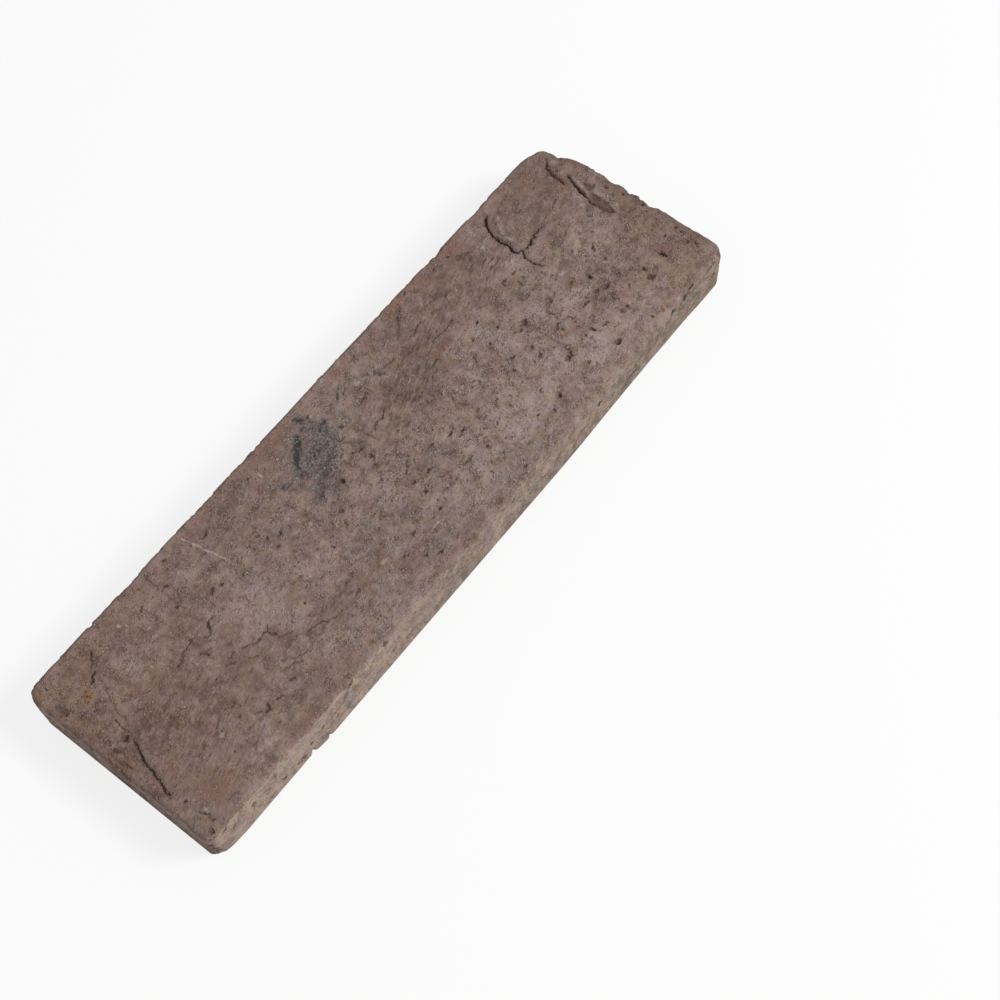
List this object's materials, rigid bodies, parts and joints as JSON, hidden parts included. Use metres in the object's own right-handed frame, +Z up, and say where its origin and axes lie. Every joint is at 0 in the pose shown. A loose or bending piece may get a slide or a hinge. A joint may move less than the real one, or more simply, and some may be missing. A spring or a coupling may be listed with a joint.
{
  "type": "brick slip",
  "caption": "Thin fired-clay brick slip with a weathered mauve-brown face and a flat back for bonding to a wall.",
  "frame": {"origin": "centre of the flat back (bonding) face, at the bottom centre of the bounding box", "axes": "+X along the length towards the ragged, folded far end; +Y across the width; +Z up out of the weathered face"},
  "size_m": [0.2149, 0.065, 0.016],
  "materials": {
    "fired_clay": "unglazed fired clay, matt and sandy, mauve-brown with paler worn edges, dark creases and pits"
  },
  "bodies": {
    "root": {"brick_slip": "fired_clay"}
  },
  "joints": []
}
